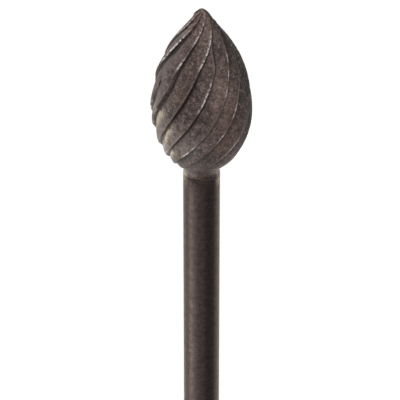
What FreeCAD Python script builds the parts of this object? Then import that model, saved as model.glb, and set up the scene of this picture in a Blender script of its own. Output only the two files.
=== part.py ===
import FreeCAD, Part
import math
import os

# Acrylic trimming burr: one piece of steel, a fluted pear-shaped head on a plain round shank.
# Lengths are in millimetres and angles in degrees. The burr is built upright, with its axis on Z,
# the shank below z = 0 and the head above it, and is then laid down as it rests on a table.

# Shank
SHANK_DIAMETER = 2.35
SHANK_LENGTH = 32.8
SHANK_END_CHAMFER = 0.25
SHOULDER_CHAMFER = 0.1

# Head, over its cutting edges
HEAD_DIAMETER = 6.46
HEAD_LENGTH = 11.7
NECK_DIAMETER = 2.0
NECK_HEIGHT = 0.3
NECK_ROOT_DEPTH = 0.4
TIP_FLAT_DIAMETER = 0.24

# Side of the head between neck and tip: share of its length, share of its half diameter
HEAD_PROFILE_SHARES = (
    (0.100, 0.606),
    (0.205, 0.848),
    (0.310, 0.963),
    (0.420, 1.000),
    (0.565, 0.936),
    (0.720, 0.742),
    (0.870, 0.411),
    (0.955, 0.190),
    (0.985, 0.105),
)

# Teeth: each back rises from a root to a cutting edge, fast at first, and a steep face drops to the next root
TOOTH_COUNT = 12
TOOTH_DEPTH = 0.44
FACE_ANGLE = 2.4
BACK_FULLNESS = 2.6
BACK_SHARES = (0.0, 0.12, 0.35, 0.65, 1.0)
DEPTH_TAPER = 0.6
FLUTE_START = 0.35
FLUTE_RUN_IN = 1.4

# Lean of the teeth from the axis, at shares of the head's length
TOOTH_LEAN_ANGLES = (
    (0.00, 0.0),
    (0.08, 40.0),
    (0.22, 42.5),
    (0.68, 22.0),
    (1.00, 24.0),
)

# Where the cutting edges cross half the head's length: the first one, and how far each is from even spacing
FIRST_TOOTH_ANGLE = -118.0
TOOTH_SHIFT_ANGLES = (6.0, 9.0, -2.0, -3.0, -8.0, -12.0, -19.5, -15.5, -9.0, -3.0, 3.0, 11.0)

# Short teeth, evenly spread: each runs into the flute of the tooth before it, and its two neighbours close up
SHORT_TOOTH_COUNT = 4
FIRST_SHORT_TOOTH_INDEX = 1
SHORT_TOOTH_REACH_SHARES = (0.74, 0.875, 0.97, 0.82)
SHORT_TOOTH_RUN_OUT_SHARE = 0.15
MERGED_ANGLE = 3.0
CLOSING_ANGLE = 5.5

# At rest the head sinks a little between two cutting edges, turned by this much about its own axis
REST_SINK = 0.071
REST_ROLL_ANGLE = -4.87

# Sections of the head between neck and tip, closer together towards the tip
SECTIONS = 30
SECTION_CROWDING = 1.5
TURN_STEPS = 60
LINE_DEGREE = 3
POINT_GAP = 1e-7


def head_curve():
    """Side of the head as a smooth curve in the XZ plane, from the root inside the shank to the tip."""
    neck_radius = NECK_DIAMETER / 2
    points = [FreeCAD.Vector(neck_radius, 0, -NECK_ROOT_DEPTH), FreeCAD.Vector(neck_radius, 0, NECK_HEIGHT)]
    for height_share, radius_share in HEAD_PROFILE_SHARES:
        points.append(FreeCAD.Vector(radius_share * HEAD_DIAMETER / 2, 0, height_share * HEAD_LENGTH))
    points.append(FreeCAD.Vector(TIP_FLAT_DIAMETER / 2, 0, HEAD_LENGTH))
    curve = Part.BSplineCurve()
    curve.interpolate(Points=points)
    return curve


def blend(value, low, high):
    """Smooth step from 0 at low to 1 at high."""
    share = min(1.0, max(0.0, (value - low) / (high - low)))
    return share * share * (3 - 2 * share)


def lean_at(height):
    """Lean of the teeth from the axis at a height, by straight lines between the named shares."""
    share = height / HEAD_LENGTH
    for (low, low_lean), (high, high_lean) in zip(TOOTH_LEAN_ANGLES, TOOTH_LEAN_ANGLES[1:]):
        if share <= high:
            part = max(0.0, (share - low) / (high - low))
            return low_lean + (high_lean - low_lean) * part
    return TOOTH_LEAN_ANGLES[-1][1]


def head_stations():
    """Height, radius and turn of the teeth at each section, the turn being zero at half the head's length."""
    curve = head_curve()
    first = curve.FirstParameter
    span = curve.LastParameter - first
    last = curve.value(first)
    turn = 0.0
    stations = [(last.z, last.x, turn)]
    for index in range(1, SECTIONS):
        for step in range(1, TURN_STEPS + 1):
            share = (index - 1 + step / TURN_STEPS) / (SECTIONS - 1)
            point = curve.value(first + span * (1 - (1 - share) ** SECTION_CROWDING))
            radius = (point.x + last.x) / 2
            run = point.distanceToPoint(last)
            turn += math.degrees(math.tan(math.radians(lean_at(point.z))) * run / radius)
            last = point
        stations.append((last.z, last.x, turn))
    middle = HEAD_LENGTH / 2
    for (low, _, low_turn), (high, _, high_turn) in zip(stations, stations[1:]):
        if low <= middle < high:
            middle_turn = low_turn + (high_turn - low_turn) * (middle - low) / (high - low)
    return [(height, radius, turn - middle_turn) for height, radius, turn in stations]


def tooth_angles():
    """Angle of each cutting edge at half the head's length, from the side that faces up at rest."""
    pitch = 360.0 / TOOTH_COUNT
    return [
        FIRST_TOOTH_ANGLE + pitch * index + TOOTH_SHIFT_ANGLES[index % len(TOOTH_SHIFT_ANGLES)]
        for index in range(TOOTH_COUNT)
    ]


def on_ring(radius, angle, height):
    """Point at a radius and height, its angle counted from the -Y side towards +X."""
    turn = math.radians(angle)
    return FreeCAD.Vector(radius * math.sin(turn), -radius * math.cos(turn), height)


def short_tooth_step():
    """Every how many teeth one is short."""
    return TOOTH_COUNT // SHORT_TOOTH_COUNT


def place_in_group(index):
    """Place of a tooth from its nearest short one: 0 is short, 1 comes after it, -1 before it."""
    return (index - FIRST_SHORT_TOOTH_INDEX + 1) % short_tooth_step() - 1


def merging(index, height):
    """How far the short tooth nearest to this one has run out at a height: 0 is not at all, 1 is gone."""
    group = (index - FIRST_SHORT_TOOTH_INDEX + 1) // short_tooth_step()
    reach = SHORT_TOOTH_REACH_SHARES[group % len(SHORT_TOOTH_REACH_SHARES)]
    return blend(height, HEAD_LENGTH * (reach - SHORT_TOOTH_RUN_OUT_SHARE), HEAD_LENGTH * reach)


def cutting_edges(height, radius, turn, depth):
    """Angle and radius of each cutting edge at one height."""
    closed = [
        angle - merging(index, height) * CLOSING_ANGLE * place_in_group(index) + turn
        for index, angle in enumerate(tooth_angles())
    ]
    edges = []
    for index, angle in enumerate(closed):
        edge_radius = radius
        if place_in_group(index) == 0:
            before = closed[index - 1] if index else closed[-1] - 360.0
            angle -= merging(index, height) * (angle - before - FACE_ANGLE - MERGED_ANGLE)
            edge_radius -= depth * merging(index, height)
        edges.append((angle, edge_radius))
    return edges


def tooth_rows(height, radius, turn):
    """For each tooth at one height: the points across its back, and the root that its face drops to."""
    run_in = blend(height, FLUTE_START, FLUTE_START + FLUTE_RUN_IN)
    depth = TOOTH_DEPTH * run_in * (2 * radius / HEAD_DIAMETER) ** DEPTH_TAPER
    edges = cutting_edges(height, radius, turn, depth)
    root_radius = radius - depth
    rows = []
    for index, (edge_angle, edge_radius) in enumerate(edges):
        root_angle = edges[index - 1][0] + FACE_ANGLE
        if index == 0:
            root_angle -= 360.0
        back = []
        for share in BACK_SHARES:
            rise = 1 - (1 - share) ** BACK_FULLNESS
            back_radius = root_radius + (edge_radius - root_radius) * rise
            back.append(on_ring(back_radius, root_angle + (edge_angle - root_angle) * share, height))
        rows.append(back + [on_ring(root_radius, edge_angle + FACE_ANGLE, height)])
    return rows


def ruled_face(pairs):
    """Face between two smooth lines along the head, each led by one pole of every pair."""
    spans = len(pairs) - LINE_DEGREE
    knots = [index / spans for index in range(spans + 1)]
    counts = [LINE_DEGREE + 1] + [1] * (spans - 1) + [LINE_DEGREE + 1]
    surface = Part.BSplineSurface()
    surface.buildFromPolesMultsKnots(pairs, counts, [2, 2], knots, [0.0, 1.0], False, False, LINE_DEGREE, 1)
    return surface.toShape()


def end_cap(rows):
    """Flat face that closes the head at one end."""
    outline = []
    for row in rows:
        for point in row:
            if not outline or point.distanceToPoint(outline[-1]) > POINT_GAP:
                outline.append(point)
    return Part.Face(Part.makePolygon(outline))


def make_head():
    sections = [tooth_rows(*station) for station in head_stations()]
    faces = [end_cap(sections[0]), end_cap(sections[-1])]
    for index in range(TOOTH_COUNT):
        for strip in range(len(BACK_SHARES)):
            faces.append(ruled_face([section[index][strip:strip + 2] for section in sections]))
    shell = Part.Shell(faces)
    shell.sewShape()
    return Part.Solid(shell)


def make_shank():
    """Round shank below z = 0, with a chamfer at its free end and a small one at the shoulder."""
    radius = SHANK_DIAMETER / 2
    corners = [
        (0, -SHANK_LENGTH),
        (radius - SHANK_END_CHAMFER, -SHANK_LENGTH),
        (radius, -SHANK_LENGTH + SHANK_END_CHAMFER),
        (radius, -SHOULDER_CHAMFER),
        (radius - SHOULDER_CHAMFER, 0),
        (0, 0),
    ]
    points = [FreeCAD.Vector(x, 0, z) for x, z in corners]
    profile = Part.Face(Part.makePolygon(points + points[:1]))
    return profile.revolve(FreeCAD.Vector(0, 0, 0), FreeCAD.Vector(0, 0, 1), 360)


def rest_tilt():
    """Tilt of the axis when the widest part of the head and the shank's end both touch the table."""
    ring_height, ring_radius, _ = max(head_stations(), key=lambda station: station[1])
    end_height = -SHANK_LENGTH + SHANK_END_CHAMFER
    rise = ring_radius - REST_SINK - SHANK_DIAMETER / 2
    return math.degrees(math.atan2(rise, ring_height - end_height))


def lay_down(shape):
    """Tip towards +Y, resting on z = 0, with the middle of its bounding box over the origin."""
    shape = shape.copy()
    shape.rotate(FreeCAD.Vector(0, 0, 0), FreeCAD.Vector(0, 0, 1), REST_ROLL_ANGLE)
    shape.rotate(FreeCAD.Vector(0, 0, 0), FreeCAD.Vector(1, 0, 0), rest_tilt() - 90)
    box = shape.optimalBoundingBox(False)
    shape.translate(FreeCAD.Vector(-(box.XMin + box.XMax) / 2, -(box.YMin + box.YMax) / 2, -box.ZMin))
    return shape


burr = lay_down(make_shank().fuse(make_head())).Solids[0]
os.makedirs("parts", exist_ok=True)
burr.exportStep("parts/trimming_burr.step")
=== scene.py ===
import bpy
import math
import numpy as np
from mathutils import Matrix, Vector, noise


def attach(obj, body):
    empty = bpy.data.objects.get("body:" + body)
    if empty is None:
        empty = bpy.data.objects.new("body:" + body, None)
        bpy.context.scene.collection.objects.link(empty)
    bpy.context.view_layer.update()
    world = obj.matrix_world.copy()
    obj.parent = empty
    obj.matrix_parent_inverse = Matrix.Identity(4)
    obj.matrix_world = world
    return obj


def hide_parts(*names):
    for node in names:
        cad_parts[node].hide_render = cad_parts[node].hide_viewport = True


# Acrylic trimming burr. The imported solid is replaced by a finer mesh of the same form: the same side line,
# teeth and shank, with rounded and worn cutting edges. Its flutes are shallower and its neck is fuller than
# in the CAD source, as wear and residue have left them.
# Lengths are in millimetres and angles in degrees until the mesh is made. Sides are sines of the angle
# from the front: -1 is the left of the burr and 1 its right. Shares are shares of the head's length.

MM = 0.001

# Shank and head, as in the CAD source but for the shoulder's chamfer and the neck, which residue fills
SHANK_DIAMETER = 2.35
SHANK_LENGTH = 32.8
SHANK_END_CHAMFER = 0.25
SHOULDER_CHAMFER = 0.02
HEAD_DIAMETER = 6.46
HEAD_LENGTH = 11.7
NECK_DIAMETER = 2.31
NECK_HEIGHT = 0.3
NECK_ROOT_DEPTH = 0.4
TIP_FLAT_DIAMETER = 0.24
HEAD_PROFILE_SHARES = (
    (0.100, 0.606),
    (0.205, 0.848),
    (0.310, 0.963),
    (0.420, 1.000),
    (0.565, 0.936),
    (0.720, 0.742),
    (0.870, 0.411),
    (0.955, 0.190),
    (0.985, 0.105),
)

# Teeth, as in the CAD source but for their depth and the fullness of their backs, which have worn down
TOOTH_COUNT = 12
TOOTH_DEPTH = 0.28
FACE_ANGLE = 2.4
BACK_FULLNESS = 1.4
DEPTH_TAPER = 0.6
FLUTE_START = 0.35
FLUTE_RUN_IN = 1.4
TOOTH_LEAN_ANGLES = ((0.00, 0.0), (0.08, 40.0), (0.22, 42.5), (0.68, 22.0), (1.00, 24.0))
FIRST_TOOTH_ANGLE = -118.0
TOOTH_SHIFT_ANGLES = (6.0, 9.0, -2.0, -3.0, -8.0, -12.0, -19.5, -15.5, -9.0, -3.0, 3.0, 11.0)
SHORT_TOOTH_COUNT = 4
SHORT_TOOTH_STEP = TOOTH_COUNT // SHORT_TOOTH_COUNT
FIRST_SHORT_TOOTH_INDEX = 1
SHORT_TOOTH_REACH_SHARES = (0.74, 0.875, 0.97, 0.82)
SHORT_TOOTH_RUN_OUT_SHARE = 0.15
MERGED_ANGLE = 3.0
CLOSING_ANGLE = 5.5

# Rest pose, as in the CAD source
REST_SINK = 0.071
REST_ROLL_ANGLE = -4.87

# Mesh density: points of the head's side line, rings along head, shoulder and shank, corners of a tooth's
# back, and places across its back and its face
LINE_POINTS = 3000
HEAD_RINGS = 230
HEAD_CROWDING = 1.25
SHOULDER_TURN_ANGLES = (27.0, 54.0, 90.0)
SHANK_RINGS = 40
BACK_CORNERS = 13
BACK_PLACES = (
    0.0, 0.03, 0.07, 0.13, 0.2, 0.28, 0.36, 0.45, 0.54,
    0.63, 0.71, 0.78, 0.84, 0.89, 0.93, 0.96, 0.98, 1.0,
)
FACE_PLACES = (0.15, 0.35, 0.55, 0.75, 0.9)

# Flutes, each named by the tooth before it, between two shares: with a wide painted shade in the root, or
# worn smooth instead
WIDE_SHADE_FLUTES = ((6, 0.12, 0.60), (7, 0.12, 0.50), (5, 0.66, 0.88), (5, 0.10, 0.26))
SMOOTH_FLUTES = ((5, 0.34, 0.62), (1, 0.52, 0.74))
FLUTE_FILLING_SHARE = 0.65
FLUTE_FADE = 0.06

# How far the marks of edges and the painted shade of roots reach, where on a tooth's face the painted shade
# of the root starts and is full, and the radius below which the marks fade out towards the tip
EDGE_REACH = 0.085
ROOT_REACH = 0.09
WIDE_ROOT_SHADE_REACH = 0.28
FACE_SHADE_PLACES = (-0.2, 0.7)
MARKED_RADIUS = HEAD_DIAMETER / 4

# Cutting edges are rounded by taking the mean of the form at these turns
ROUNDING_ANGLES = (-0.4, -0.2, 0.0, 0.2, 0.4)

# Wear of the skin: a loss all over that starts above the neck, and an uneven one, broad and fine
SKIN_LOSS = 0.02
SKIN_LOSS_HEIGHTS = (0.0, 0.6)
SKIN_DEPTH = 0.012
BROAD_WEAR_SHARE = 0.6
BROAD_WEAR_SCALE = 0.9
FINE_WEAR_SCALE = 4.0

# Nicks in the cutting edges
NICK_DEPTH = 0.0875
NICK_SCALE = 2.6
NICK_OFFSET = Vector((7.0, 3.0, 1.0))
NICK_START = 0.05

# Lumps of the tip
LUMP_DEPTH = 0.16
LUMP_SCALE = 3.2
LUMP_SHARES = (0.84, 0.95)

# Painted glints on the cutting edges: tooth, and the shares between which it shines
PAINTED_GLINT_SPOTS = (
    (0, 0.70, 0.90),
    (2, 0.85, 0.97),
    (2, 0.72, 0.78),
    (3, 0.74, 0.91),
    (4, 0.53, 0.68),
    (4, 0.17, 0.21),
    (5, 0.22, 0.31),
    (5, 0.60, 0.63),
    (5, 0.68, 0.71),
    (5, 0.76, 0.79),
    (6, 0.46, 0.53),
    (6, 0.33, 0.39),
    (7, 0.22, 0.31),
    (8, 0.58, 0.76),
    (9, 0.40, 0.52),
    (10, 0.80, 0.99),
    (11, 0.84, 0.95),
)
SPOT_FADE = 0.02

# Heights between which the head's brown skin gives way to the shank
STAIN_HEIGHTS = (-0.25, 0.55)

# Painted shade on the skin: sides where it starts and is full on the right and at both rims, and low on the
# head
PAINTED_SHADE_SIDE = (0.72, 0.94)
PAINTED_SHADE_SIDE_STRENGTH = 0.6
PAINTED_SHADE_RIM = (0.88, 0.99)
PAINTED_SHADE_RIM_STRENGTH = 0.4
LOW_PAINTED_SHADE_SIDES = (-0.80, -0.55, 0.10, 0.35)
LOW_PAINTED_SHADE_SHARES = (0.04, 0.09, 0.22, 0.32)
LOW_PAINTED_SHADE_STRENGTH = 0.35

# Paler skin: sides and shares of a painted highlight band, and shares where the tip starts and is fully paler
HIGHLIGHT_SIDES = (0.15, 0.40, 0.60, 0.80)
HIGHLIGHT_SHARES = (0.15, 0.30, 0.60, 0.80)
PALE_TIP_SHARES = (0.80, 0.97)

# Painted reflection, pale cream, in the flutes of the left side: how far left, its reach from the root, and
# its shares
REFLECTION_LEFT = (0.50, 0.74)
REFLECTION_REACH = 0.7
REFLECTION_SHARES = (0.15, 0.20, 0.45, 0.50)

# Painted reflection, pale cream, on both sides of the neck
NECK_REFLECTION_SIDE = (0.70, 0.95)
NECK_REFLECTION_HEIGHTS = (-0.15, 0.0, 0.35, 0.65)
NECK_REFLECTION_STRENGTH = 0.6

# Noise textures of the steel: scale to the millimetre, detail, roughness
NOISES = {
    "broad": (0.55, 3.0, 0.55),
    "blotches": (2.6, 6.0, 0.66),
    "grain": (10.0, 3.0, 0.6),
    "specks": (5.5, 4.0, 0.7),
    "grit": (5.0, 5.0, 0.7),
    "glints": (6.0, 4.0, 0.65),
}
TURNED_NOISE = (5.0, 4.0, 0.6)
TURNED_STRETCH = (0.5, 1.0, 0.5)
RELIEF_DEPTH = 0.035
RELIEF_STRENGTH = 0.5

# Colours of the head's skin, of the shank, of what lies on both, and of the painted shade, highlights, glints
# and reflections
SKIN_DARK = (0.052, 0.034, 0.031)
SKIN_PALE = (0.158, 0.105, 0.093)
SKIN_BROWN = (0.140, 0.086, 0.066)
SKIN_PALE_AND_HIGHLIGHT = (0.250, 0.155, 0.130)
SKIN_PAINTED_SHADE = (0.012, 0.009, 0.009)
SKIN_SPECK = (0.40, 0.34, 0.31)
SHANK_DARK = (0.050, 0.035, 0.033)
SHANK_PALE = (0.076, 0.056, 0.052)
SHANK_BLOTCH = (0.040, 0.029, 0.027)
SHANK_SPECK = (0.30, 0.26, 0.24)
GRAIN = (0.030, 0.024, 0.023)
DARK_GRIT = (0.018, 0.014, 0.013)
PALE_GRIT = (0.30, 0.24, 0.215)
EDGE_HIGHLIGHT = (0.20, 0.165, 0.150)
PAINTED_REFLECTION_COLOUR = (0.66, 0.56, 0.43)
PAINTED_ROOT_SHADE = (0.008, 0.006, 0.006)
PAINTED_GLINT_COLOUR = (0.85, 0.76, 0.73)
STEEL_TINT = (0.9, 0.85, 0.78, 1.0)
FLOOR_COLOUR = (0.9, 0.9, 0.9, 1.0)
WHITE = (1.0, 1.0, 1.0, 1.0)

# Camera of the photograph: seen a little from the tip's side, from far away
CAMERA_RISE = 33.0
CAMERA_DISTANCE = 169.6
CAMERA_FOCUS_PX = 2657.7
PHOTO_WIDTH_PX = 400
SENSOR_WIDTH = 36.0
AIM_BELOW_SHOULDER = 2.19
AIM_SIDE_PX = -1.55
CLIP_DISTANCES = (10.0, 10000.0)

# Floor, its own glow in the background, and the world's soft fill on the left and on the right
FLOOR_SIZE = 6000.0
FLOOR_GLOW = 0.6
FILL_LEFT = 0.52
FILL_RIGHT = 0.31

# Soft lamps: name, place, width, height, brightness
LAMPS = (
    ("end_low", (-125, -115, 28), 110, 60, 4.4),
    ("end_left", (-110, -120, 95), 90, 70, 1.7),
    ("end_top", (-20, -130, 130), 120, 120, 0.6),
    ("tip", (0, 170, 60), 200, 100, 1.7),
    ("top", (0, 60, 180), 120, 120, 0.85),
    ("right", (90, 70, 140), 120, 120, 0.6),
)


def blend(value, low, high):
    """Smooth step from 0 at low to 1 at high."""
    share = min(1.0, max(0.0, (value - low) / (high - low)))
    return share * share * (3 - 2 * share)


def bump(value, start, full, fade, end):
    """Smooth rise from 0 at start to 1 at full, and back from 1 at fade to 0 at end."""
    return blend(value, start, full) - blend(value, fade, end)


def natural_spline(knots, values, places):
    """Smooth curve through the values at the knots, read at the places."""
    count = len(knots)
    steps = np.diff(knots)
    slopes = np.diff(values) / steps
    matrix = np.eye(count)
    right = np.zeros(count)
    for i in range(1, count - 1):
        matrix[i, i - 1:i + 2] = steps[i - 1], 2 * (steps[i - 1] + steps[i]), steps[i]
        right[i] = 6 * (slopes[i] - slopes[i - 1])
    bends = np.linalg.solve(matrix, right)
    i = np.clip(np.searchsorted(knots, places) - 1, 0, count - 2)
    step = steps[i]
    before = places - knots[i]
    after = knots[i + 1] - places
    cubic = (bends[i] * after ** 3 + bends[i + 1] * before ** 3) / (6 * step)
    low_share = values[i] / step - bends[i] * step / 6
    high_share = values[i + 1] / step - bends[i + 1] * step / 6
    return cubic + low_share * after + high_share * before


def head_line():
    """Height, radius and turn of the teeth along the head's side, from the neck to the tip."""
    neck_radius = NECK_DIAMETER / 2
    points = [(-NECK_ROOT_DEPTH, neck_radius), (NECK_HEIGHT, neck_radius)]
    points += [(height * HEAD_LENGTH, radius * HEAD_DIAMETER / 2) for height, radius in HEAD_PROFILE_SHARES]
    points.append((HEAD_LENGTH, TIP_FLAT_DIAMETER / 2))
    points = np.array(points)
    knots = np.concatenate(([0.0], np.cumsum(np.hypot(*np.diff(points, axis=0).T))))
    places = knots[-1] * (1 - (1 - np.linspace(0, 1, LINE_POINTS)) ** HEAD_CROWDING)
    heights = natural_spline(knots, points[:, 0], places)
    radii = natural_spline(knots, points[:, 1], places)
    radii = np.where(heights < NECK_HEIGHT * 2, np.maximum(radii, neck_radius), radii)
    shares, leans = np.array(TOOTH_LEAN_ANGLES).T
    lean = np.radians(np.interp(heights / HEAD_LENGTH, shares, leans))
    runs = np.hypot(np.diff(heights), np.diff(radii))
    steps = np.degrees(np.tan(lean[1:]) * runs / ((radii[1:] + radii[:-1]) / 2))
    turns = np.concatenate(([0.0], np.cumsum(steps)))
    turns -= np.interp(HEAD_LENGTH / 2, heights, turns)
    picks = np.linspace(np.searchsorted(heights, 0.0), LINE_POINTS - 1, HEAD_RINGS).astype(int)
    return np.array((heights[picks], radii[picks], turns[picks])).T


def merging(index, height):
    """How far the short tooth nearest to this one has run out at a height: 0 is not at all, 1 is gone."""
    group = (index - FIRST_SHORT_TOOTH_INDEX + 1) // SHORT_TOOTH_STEP
    reach = SHORT_TOOTH_REACH_SHARES[group % len(SHORT_TOOTH_REACH_SHARES)]
    return blend(height, HEAD_LENGTH * (reach - SHORT_TOOTH_RUN_OUT_SHARE), HEAD_LENGTH * reach)


def place_in_group(index):
    """Place of a tooth from its nearest short one: 0 is short, 1 comes after it, -1 before it."""
    return (index - FIRST_SHORT_TOOTH_INDEX + 1) % SHORT_TOOTH_STEP - 1


def cutting_edges(height, radius, turn, depth):
    """Angle and radius of each cutting edge at one height."""
    closed = []
    for index, shift in enumerate(TOOTH_SHIFT_ANGLES):
        even = FIRST_TOOTH_ANGLE + 360.0 / TOOTH_COUNT * index
        closing = merging(index, height) * CLOSING_ANGLE * place_in_group(index)
        closed.append(even + shift - closing + turn)
    edges = []
    for index, angle in enumerate(closed):
        edge_radius = radius
        if place_in_group(index) == 0:
            before = closed[index - 1] if index else closed[-1] - 360.0
            angle -= merging(index, height) * (angle - before - FACE_ANGLE - MERGED_ANGLE)
            edge_radius -= depth * merging(index, height)
        edges.append((angle, edge_radius))
    return edges


def within(spans, tooth, height, fade):
    """How far a height is within the tooth's own spans of shares, from 0 to 1."""
    share = height / HEAD_LENGTH
    inside = 0.0
    for span_tooth, low, high in spans:
        if span_tooth == tooth:
            inside += bump(share, low - fade, low + fade, high - fade, high + fade)
    return inside


def head_ring(height, radius, turn):
    """Angles and radii round the head at one height, with the marks there: edges, painted glints, painted
    shade in the roots and painted reflections.
    """
    run_in = blend(height, FLUTE_START, FLUTE_START + FLUTE_RUN_IN)
    depth = TOOTH_DEPTH * run_in * (2 * radius / HEAD_DIAMETER) ** DEPTH_TAPER
    edges = cutting_edges(height, radius, turn, depth)
    arc = math.radians(radius)
    corners = []
    places = []
    for index, (edge_angle, edge_radius) in enumerate(edges):
        root_angle = edges[index - 1][0] + FACE_ANGLE - (360.0 if index == 0 else 0.0)
        width = edge_angle - root_angle
        glint_share = within(PAINTED_GLINT_SPOTS, index, height, SPOT_FADE)
        before = (index - 1) % TOOTH_COUNT
        filling = within(SMOOTH_FLUTES, before, height, FLUTE_FADE)
        widening = within(WIDE_SHADE_FLUTES, before, height, FLUTE_FADE)
        root_reach = ROOT_REACH + (WIDE_ROOT_SHADE_REACH - ROOT_REACH) * widening
        root_radius = radius - depth * (1 - FLUTE_FILLING_SHARE * filling)
        for share in np.linspace(0, 1, BACK_CORNERS):
            rise = 1 - (1 - share) ** BACK_FULLNESS
            corners.append((root_angle + width * share, root_radius + (edge_radius - root_radius) * rise))
        for share in BACK_PLACES:
            edge_gap = width * (1 - share) * arc
            root_gap = width * share * arc
            # Painted shade in the root, fading out where the flute is worn smooth
            root_shade = math.exp(-(root_gap / root_reach) ** 2) * (1 - filling)
            places.append((root_angle + width * share, edge_gap, root_gap, root_shade, glint_share))
        for share in FACE_PLACES:
            edge_gap = (FACE_ANGLE * arc + depth) * share
            # Painted shade down the tooth's face
            root_shade = blend(share, *FACE_SHADE_PLACES) * (1 - filling)
            places.append((edge_angle + FACE_ANGLE * share, edge_gap, 0.0, root_shade, glint_share))
    first_angle, first_radius = corners[0]
    corners.append((first_angle + 360.0, first_radius))
    corner_angles, corner_radii = np.array(corners).T
    angles, edge_gaps, root_gaps, root_shades, glint_marks = np.array(places).T
    radii = np.zeros(len(angles))
    for shift in ROUNDING_ANGLES:
        shifted = (angles + shift - first_angle) % 360.0 + first_angle
        radii += np.interp(shifted, corner_angles, corner_radii) / len(ROUNDING_ANGLES)
    toothed = run_in * min(1.0, radius / MARKED_RADIUS)
    edge_marks = np.exp(-(edge_gaps / EDGE_REACH) ** 2) * toothed
    marks = {
        "edge": edge_marks,
        "painted_glint": edge_marks * glint_marks,
        "root": root_shades * toothed,
        "painted_reflection": flute_reflection(angles, root_gaps, height) * toothed + neck_reflection(angles, height),
    }
    return angles, radii, marks


def flute_reflection(angles, root_gaps, height):
    """Painted reflection marks in the flutes of the left side, the gaps being the distances from the roots.
    """
    left = np.array([blend(-math.sin(angle), *REFLECTION_LEFT) for angle in np.radians(angles)])
    return np.exp(-(root_gaps / REFLECTION_REACH) ** 2) * left * bump(height / HEAD_LENGTH, *REFLECTION_SHARES)


def neck_reflection(angles, height):
    """Painted reflection marks at the shoulder, on the left and on the right of the neck."""
    sides = np.array([blend(abs(math.sin(angle)), *NECK_REFLECTION_SIDE) for angle in np.radians(angles)])
    return NECK_REFLECTION_STRENGTH * sides * bump(height, *NECK_REFLECTION_HEIGHTS)


def skin_marks(angles, height):
    """Marks of the brown skin, of its painted shade and of its paler tip and painted highlight band round the
    burr at one height.
    """
    head = blend(height, *STAIN_HEIGHTS)
    share = height / HEAD_LENGTH
    low_shade = LOW_PAINTED_SHADE_STRENGTH * bump(share, *LOW_PAINTED_SHADE_SHARES)
    marks = {"head": [], "painted_shade": [], "pale": []}
    for side in np.sin(np.radians(angles)):
        # Painted shade: darker towards the right, at both rims and low on the left of the head
        dark = PAINTED_SHADE_SIDE_STRENGTH * blend(side, *PAINTED_SHADE_SIDE) + PAINTED_SHADE_RIM_STRENGTH * blend(abs(side), *PAINTED_SHADE_RIM)
        # Painted highlight: a paler band right of the front, over the middle of the head
        pale_and_highlight = bump(side, *HIGHLIGHT_SIDES) * bump(share, *HIGHLIGHT_SHARES)
        marks["head"].append(head)
        marks["painted_shade"].append(max(dark, low_shade * bump(side, *LOW_PAINTED_SHADE_SIDES)) * head)
        marks["pale"].append(max(pale_and_highlight, blend(share, *PALE_TIP_SHARES)) * head)
    return marks


def shank_side():
    """Radius and height down the shank's side, from the rounded shoulder to the chamfer of its end."""
    radius = SHANK_DIAMETER / 2
    side = []
    for turn in np.radians(SHOULDER_TURN_ANGLES):
        inset = SHOULDER_CHAMFER * (1 - math.sin(turn))
        side.append((radius - inset, -SHOULDER_CHAMFER * (1 - math.cos(turn))))
    wall_end = -SHANK_LENGTH + SHANK_END_CHAMFER
    for share in np.linspace(0, 1, SHANK_RINGS)[1:]:
        side.append((radius, -SHOULDER_CHAMFER + (wall_end + SHOULDER_CHAMFER) * share))
    side.append((radius - SHANK_END_CHAMFER, -SHANK_LENGTH))
    return side


def burr_rings():
    """Rings from the tip to the shank's end: angles, radii, height and marks by name."""
    rings = []
    for line_height, line_radius, turn in head_line()[::-1]:
        angles, radii, marks = head_ring(line_height, line_radius, turn)
        height = min(line_height, HEAD_LENGTH - SKIN_LOSS)
        rings.append((angles, radii, height, {**marks, **skin_marks(angles, height)}))
    plain = np.zeros(len(angles))
    for radius, height in shank_side():
        marks = {"edge": plain, "painted_glint": plain, "root": plain, "painted_reflection": neck_reflection(angles, height)}
        rings.append((angles, plain + radius, height, {**marks, **skin_marks(angles, height)}))
    return rings


def on_ring(radius, turn, height):
    """Point of the upright burr, its turn in radians from the front towards the right."""
    return Vector((radius * math.sin(turn), -radius * math.cos(turn), height))


def wear_noise(point, scale):
    """Even noise from 0 to 1 at a point."""
    return 0.5 + 0.5 * noise.noise(point * scale)


def worn(point, radius, edge_mark):
    """How much the skin lies below its full form at a point, in millimetres."""
    broad = wear_noise(point, BROAD_WEAR_SCALE)
    fine = wear_noise(point, FINE_WEAR_SCALE)
    loss = SKIN_LOSS + SKIN_DEPTH * (BROAD_WEAR_SHARE * broad + (1 - BROAD_WEAR_SHARE) * fine)
    loss *= min(1.0, radius) * blend(point.z, *SKIN_LOSS_HEIGHTS)
    lumps = LUMP_DEPTH * max(0.0, noise.noise(point * LUMP_SCALE))
    lumps *= min(1.0, radius * 2) * blend(point.z / HEAD_LENGTH, *LUMP_SHARES)
    nicks = NICK_DEPTH * max(0.0, noise.noise(point * NICK_SCALE + NICK_OFFSET) - NICK_START)
    return loss + lumps + nicks * edge_mark


def burr_form():
    """Points and faces of one closed mesh, upright and in millimetres, and its marks by name."""
    rings = burr_rings()
    columns = len(rings[0][0])
    points = []
    marks = {name: [] for name in rings[0][3]}
    for angles, radii, height, ring_marks in rings:
        for turn, radius, edge_mark in zip(np.radians(angles), radii, ring_marks["edge"]):
            if height > 0:
                radius -= worn(on_ring(radius, turn, height), radius, edge_mark)
            points.append(on_ring(radius, turn, height))
        for name, values in ring_marks.items():
            marks[name].extend(values)
    faces = []
    for ring in range(len(rings) - 1):
        upper = ring * columns
        lower = upper + columns
        for column in range(columns):
            following = (column + 1) % columns
            faces.append((upper + following, upper + column, lower + column, lower + following))
    faces.append(tuple(range(columns)))
    faces.append(tuple(reversed(range(len(points) - columns, len(points)))))
    return points, faces, marks


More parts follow.
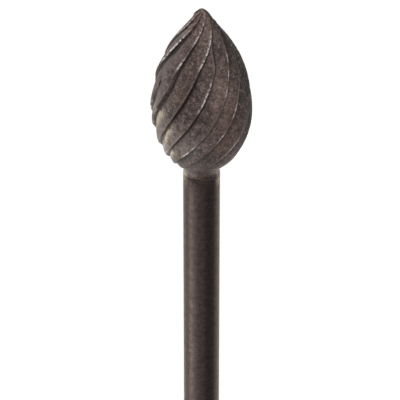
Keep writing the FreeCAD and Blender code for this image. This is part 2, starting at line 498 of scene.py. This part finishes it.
def row_matrix(points):
    """From the upright burr to the row frame: at rest on z = 0, its middle over the origin."""
    line = head_line()
    widest_height, widest_radius, _ = line[np.argmax(line[:, 1])]
    end_height = -SHANK_LENGTH + SHANK_END_CHAMFER
    tilt = math.atan2(widest_radius - REST_SINK - SHANK_DIAMETER / 2, widest_height - end_height)
    roll = Matrix.Rotation(math.radians(REST_ROLL_ANGLE), 4, "Z")
    laying = Matrix.Rotation(tilt - math.pi / 2, 4, "X") @ roll
    laid = [laying @ point for point in points]
    low = Vector([min(point[axis] for point in laid) for axis in range(3)])
    high = Vector([max(point[axis] for point in laid) for axis in range(3)])
    middle = (low + high) / 2
    return Matrix.Translation((-middle.x, -middle.y, -low.z)) @ laying


class Nodes:
    """Short calls for building the nodes of a material or a world."""

    def __init__(self, owner):
        owner.use_nodes = True
        self.tree = owner.node_tree
        self.tree.nodes.clear()

    def add(self, kind, **values):
        node = self.tree.nodes.new(kind)
        for name, value in values.items():
            setattr(node, name, value)
        return node

    def link(self, source, target):
        self.tree.links.new(source, target)

    def scaled(self, coordinates, scale):
        node = self.add("ShaderNodeMapping")
        self.link(coordinates, node.inputs["Vector"])
        node.inputs["Scale"].default_value = scale
        return node.outputs["Vector"]

    def noise(self, coordinates, scale, detail, roughness):
        node = self.add("ShaderNodeTexNoise")
        self.link(coordinates, node.inputs["Vector"])
        node.inputs["Scale"].default_value = scale
        node.inputs["Detail"].default_value = detail
        node.inputs["Roughness"].default_value = roughness
        return node.outputs["Fac"]

    def span(self, value, low, high, to_low=0.0, to_high=1.0):
        """The value's span from low to high, mapped to another and kept within it."""
        node = self.add("ShaderNodeMapRange")
        self.link(value, node.inputs["Value"])
        node.inputs["From Min"].default_value = low
        node.inputs["From Max"].default_value = high
        node.inputs["To Min"].default_value = to_low
        node.inputs["To Max"].default_value = to_high
        return node.outputs["Result"]

    def math(self, operation, first, second):
        """Sum, product or the like of an output and a second one or a number."""
        node = self.add("ShaderNodeMath", operation=operation)
        self.link(first, node.inputs[0])
        if isinstance(second, float):
            node.inputs[1].default_value = second
        else:
            self.link(second, node.inputs[1])
        return node.outputs[0]

    def times(self, first, second):
        return self.math("MULTIPLY", first, second)

    def plus(self, first, second):
        return self.math("ADD", first, second)

    def mix(self, share, first, second):
        """Colour mix; first and second are colours or outputs."""
        node = self.add("ShaderNodeMix", data_type="RGBA")
        self.link(share, node.inputs["Factor"])
        for value, index in ((first, 6), (second, 7)):
            if isinstance(value, tuple):
                node.inputs[index].default_value = (*value, 1.0)
            else:
                self.link(value, node.inputs[index])
        return node.outputs[2]

    def mark(self, name):
        return self.add("ShaderNodeAttribute", attribute_name=name).outputs["Fac"]

    def finish(self, shader, kind="ShaderNodeOutputMaterial"):
        self.link(shader, self.add(kind).inputs["Surface"])


def head_skin(nodes, noises):
    """Mottled brown skin, paler at the tip, with a painted highlight band, painted shade on the right, at the
    rims and low on the left, and sprinkled with pale specks.
    """
    skin = nodes.mix(nodes.span(noises["blotches"], 0.40, 0.60), SKIN_DARK, SKIN_PALE)
    skin = nodes.mix(nodes.span(noises["broad"], 0.46, 0.66, 0.0, 0.6), skin, SKIN_BROWN)
    # Paler tip, and a painted highlight band on the right
    pale_and_highlight = nodes.times(nodes.mark("pale"), nodes.span(noises["grain"], 0.35, 0.60, 0.35, 0.8))
    skin = nodes.mix(pale_and_highlight, skin, SKIN_PALE_AND_HIGHLIGHT)
    # Painted shade on the skin: near black on the right, at the rims and low on the left
    skin = nodes.mix(nodes.times(nodes.mark("painted_shade"), 0.95), skin, SKIN_PAINTED_SHADE)
    return nodes.mix(nodes.span(noises["specks"], 0.57, 0.70, 0.0, 0.65), skin, SKIN_SPECK)


def shank_metal(nodes, place, noises):
    """Greyer metal with faint turning marks round it, blotches and specks."""
    turned = nodes.noise(nodes.scaled(place, TURNED_STRETCH), *TURNED_NOISE)
    metal = nodes.mix(nodes.span(turned, 0.32, 0.66), SHANK_DARK, SHANK_PALE)
    metal = nodes.mix(nodes.span(noises["blotches"], 0.50, 0.64, 0.0, 0.5), metal, SHANK_BLOTCH)
    return nodes.mix(nodes.span(noises["specks"], 0.58, 0.70, 0.0, 0.22), metal, SHANK_SPECK)


def burr_steel():
    """Dark, mottled oxide skin on steel, with painted shade near black in the roots and on the right, painted
    highlights and glints on the cutting edges, and painted reflections in the left flutes and at the neck.
    """
    material = bpy.data.materials.new("dark_worn_steel")
    nodes = Nodes(material)
    place = nodes.scaled(nodes.add("ShaderNodeTexCoord").outputs["Object"], (1 / MM, 1 / MM, 1 / MM))
    noises = {name: nodes.noise(place, *values) for name, values in NOISES.items()}
    blotches = noises["blotches"]
    grain = noises["grain"]
    head = nodes.mark("head")

    colour = nodes.mix(head, shank_metal(nodes, place, noises), head_skin(nodes, noises))
    colour = nodes.mix(nodes.span(grain, 0.38, 0.62, 0.0, 0.5), colour, GRAIN)
    dark_grit = nodes.times(head, nodes.span(noises["grit"], 0.50, 0.60, 0.0, 0.6))
    colour = nodes.mix(dark_grit, colour, DARK_GRIT)
    pale_grit = nodes.times(head, nodes.span(noises["grit"], 0.44, 0.32, 0.0, 0.6))
    colour = nodes.mix(pale_grit, colour, PALE_GRIT)
    # Painted highlight: lighter along every cutting edge
    colour = nodes.mix(nodes.times(nodes.mark("edge"), 0.35), colour, EDGE_HIGHLIGHT)
    # Painted reflection: pale cream in the left flutes and beside the neck
    painted_reflection = nodes.times(nodes.mark("painted_reflection"), nodes.span(blotches, 0.44, 0.54, 0.15, 1.0))
    colour = nodes.mix(painted_reflection, colour, PAINTED_REFLECTION_COLOUR)
    # Painted shade: near black in the flute roots and down the tooth faces
    colour = nodes.mix(nodes.times(nodes.mark("root"), 0.95), colour, PAINTED_ROOT_SHADE)
    # Painted glints: near white spots along the cutting edges
    painted_glint = nodes.times(nodes.mark("painted_glint"), nodes.span(noises["glints"], 0.42, 0.54))
    colour = nodes.mix(painted_glint, colour, PAINTED_GLINT_COLOUR)

    shader = nodes.add("ShaderNodeBsdfPrincipled")
    nodes.link(colour, shader.inputs["Base Color"])
    nodes.link(nodes.span(head, 0.0, 1.0, 1.0, 0.35), shader.inputs["Metallic"])
    shader.inputs["Specular Tint"].default_value = STEEL_TINT
    rough = nodes.plus(nodes.span(head, 0.0, 1.0, 0.28, 0.34), nodes.span(blotches, 0.3, 0.7, 0.0, 0.16))
    rough = nodes.plus(rough, nodes.times(nodes.mark("painted_shade"), 0.35))
    nodes.link(rough, shader.inputs["Roughness"])
    relief = nodes.add("ShaderNodeBump")
    relief.inputs["Strength"].default_value = RELIEF_STRENGTH
    relief.inputs["Distance"].default_value = RELIEF_DEPTH * MM
    nodes.link(nodes.plus(nodes.times(grain, 0.5), nodes.times(blotches, 0.5)), relief.inputs["Height"])
    nodes.link(relief.outputs["Normal"], shader.inputs["Normal"])
    nodes.finish(shader.outputs["BSDF"])
    return material


def make_burr(points, faces, marks, to_row):
    """The burr as one object in the row frame."""
    mesh = bpy.data.meshes.new("burr")
    mesh.from_pydata([tuple((to_row @ point) * MM) for point in points], [], faces)
    for name, values in marks.items():
        mesh.attributes.new(name, "FLOAT", "POINT").data.foreach_set("value", values)
    mesh.polygons.foreach_set("use_smooth", [True] * len(mesh.polygons))
    mesh.update()
    mesh.materials.append(burr_steel())
    burr = bpy.data.objects.new("burr", mesh)
    bpy.context.scene.collection.objects.link(burr)
    return burr


def background_share(nodes):
    """1 for rays that should see the plain white background: from the camera, or by gloss or glass."""
    path = nodes.add("ShaderNodeLightPath")
    share = path.outputs["Is Camera Ray"]
    for name in ("Is Glossy Ray", "Is Transmission Ray"):
        share = nodes.math("MAXIMUM", share, path.outputs[name])
    return share


def make_floor():
    """Plain pale floor that shows white around the burr and still takes its shadow."""
    half = FLOOR_SIZE / 2 * MM
    mesh = bpy.data.meshes.new("floor")
    corners = [(-half, -half, 0), (half, -half, 0), (half, half, 0), (-half, half, 0)]
    mesh.from_pydata(corners, [], [(0, 1, 2, 3)])
    floor = bpy.data.objects.new("floor", mesh)
    bpy.context.scene.collection.objects.link(floor)
    material = bpy.data.materials.new("floor_white")
    nodes = Nodes(material)
    shader = nodes.add("ShaderNodeBsdfPrincipled")
    shader.inputs["Base Color"].default_value = FLOOR_COLOUR
    shader.inputs["Roughness"].default_value = 1.0
    shader.inputs["Specular IOR Level"].default_value = 0.0
    shader.inputs["Emission Color"].default_value = WHITE
    nodes.link(nodes.times(background_share(nodes), FLOOR_GLOW), shader.inputs["Emission Strength"])
    nodes.finish(shader.outputs["BSDF"])
    mesh.materials.append(material)


def make_world():
    """Soft studio all round, brighter on the left of the burr than on its right."""
    world = bpy.data.worlds.new("studio")
    bpy.context.scene.world = world
    nodes = Nodes(world)
    direction = nodes.add("ShaderNodeSeparateXYZ")
    nodes.link(nodes.add("ShaderNodeTexCoord").outputs["Generated"], direction.inputs["Vector"])
    fill = nodes.span(direction.outputs["X"], -1.0, 1.0, FILL_LEFT, FILL_RIGHT)
    background = nodes.add("ShaderNodeBackground")
    background.inputs["Color"].default_value = WHITE
    nodes.link(fill, background.inputs["Strength"])
    nodes.finish(background.outputs["Background"], "ShaderNodeOutputWorld")


def make_light(name, place, width, height, brightness):
    """Soft rectangular lamp that faces the burr, in millimetres, as bright as it looks from in front."""
    lamp = bpy.data.lights.new(name, "AREA")
    lamp.shape = "RECTANGLE"
    lamp.size = width * MM
    lamp.size_y = height * MM
    lamp.energy = brightness * math.pi * lamp.size * lamp.size_y
    item = bpy.data.objects.new(name, lamp)
    bpy.context.scene.collection.objects.link(item)
    item.location = Vector(place) * MM
    item.rotation_euler = (-Vector(place)).to_track_quat("-Z", "Y").to_euler()
    item.visible_camera = False


def make_camera(to_row):
    """The photograph's camera, placed by the upright burr."""
    rise = math.radians(CAMERA_RISE)
    right = Vector((1, 0, 0))
    up = Vector((0, math.sin(rise), math.cos(rise)))
    back = Vector((0, -math.cos(rise), math.sin(rise)))
    side = AIM_SIDE_PX * CAMERA_DISTANCE / CAMERA_FOCUS_PX
    matrix = Matrix((right, up, back)).transposed().to_4x4()
    matrix.translation = Vector((0, 0, -AIM_BELOW_SHOULDER)) + back * CAMERA_DISTANCE + right * side
    matrix = to_row @ matrix
    matrix.translation = matrix.translation * MM
    data = bpy.data.cameras.new("camera")
    data.sensor_width = SENSOR_WIDTH
    data.lens = CAMERA_FOCUS_PX / PHOTO_WIDTH_PX * SENSOR_WIDTH
    data.clip_start, data.clip_end = [distance * MM for distance in CLIP_DISTANCES]
    camera = bpy.data.objects.new("camera", data)
    bpy.context.scene.collection.objects.link(camera)
    camera.matrix_world = matrix
    bpy.context.scene.camera = camera


bpy.context.scene.view_settings.view_transform = "Standard"
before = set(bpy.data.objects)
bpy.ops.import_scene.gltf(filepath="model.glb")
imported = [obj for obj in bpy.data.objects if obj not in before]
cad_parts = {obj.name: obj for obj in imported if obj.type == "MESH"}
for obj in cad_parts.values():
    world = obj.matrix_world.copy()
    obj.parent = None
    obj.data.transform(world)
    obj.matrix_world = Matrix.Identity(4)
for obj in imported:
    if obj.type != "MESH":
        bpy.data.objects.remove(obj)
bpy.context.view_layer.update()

points, faces, marks = burr_form()
to_row = row_matrix(points)
burr = make_burr(points, faces, marks, to_row)
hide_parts("trimming_burr")
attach(burr, "root")

make_floor()
make_world()
for lamp_values in LAMPS:
    make_light(*lamp_values)
make_camera(to_row)
